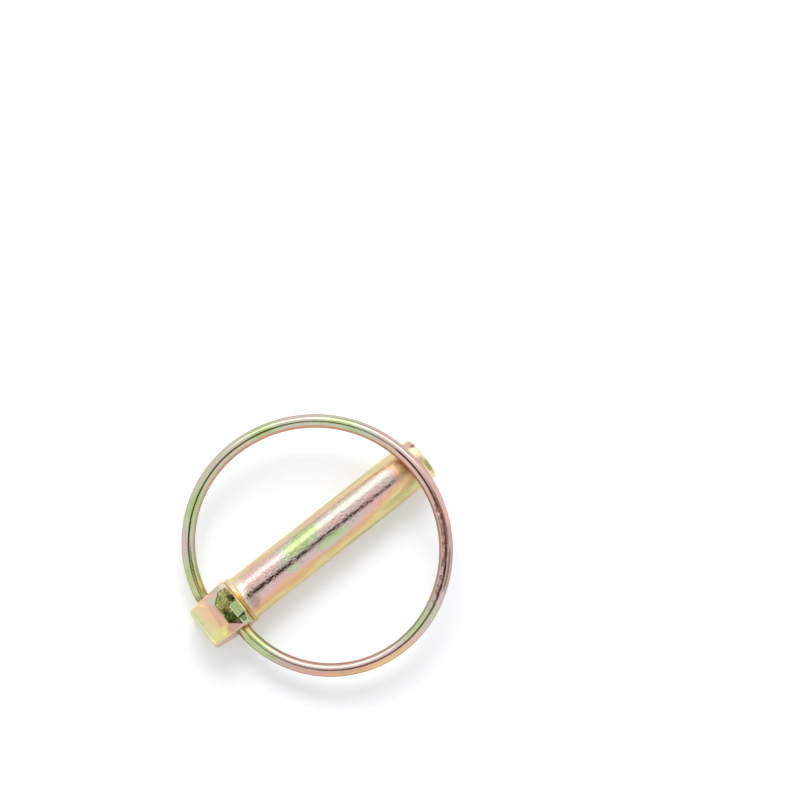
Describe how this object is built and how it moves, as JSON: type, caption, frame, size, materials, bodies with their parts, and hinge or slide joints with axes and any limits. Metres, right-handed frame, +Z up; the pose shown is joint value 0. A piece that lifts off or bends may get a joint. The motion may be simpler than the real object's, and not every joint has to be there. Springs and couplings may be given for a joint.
{
  "type": "lynch pin",
  "caption": "Lynch pin: a forged round pin with a faceted head and a spring wire ring hinged through the head that closes over the tip.",
  "frame": {"origin": "on the shank's axis, at the foot of the shoulder where the full shank begins", "axes": "+X along the shank from the head to the tip, +Z up out of the ring's side when the pin lies flat"},
  "size_m": [0.0475, 0.0461, 0.0107],
  "materials": {
    "pin": "satin",
    "ring": "satin"
  },
  "bodies": {
    "pin": {"pin": "pin"},
    "ring": {"ring": "ring"}
  },
  "joints": [
    {"name": "ring_pivot", "type": "hinge", "parent": "pin", "child": "ring", "pos_m": [-0.00495, 0, 0], "axis": [0.2588, -0.9659, 0], "range_deg": [0, 345.1]}
  ]
}
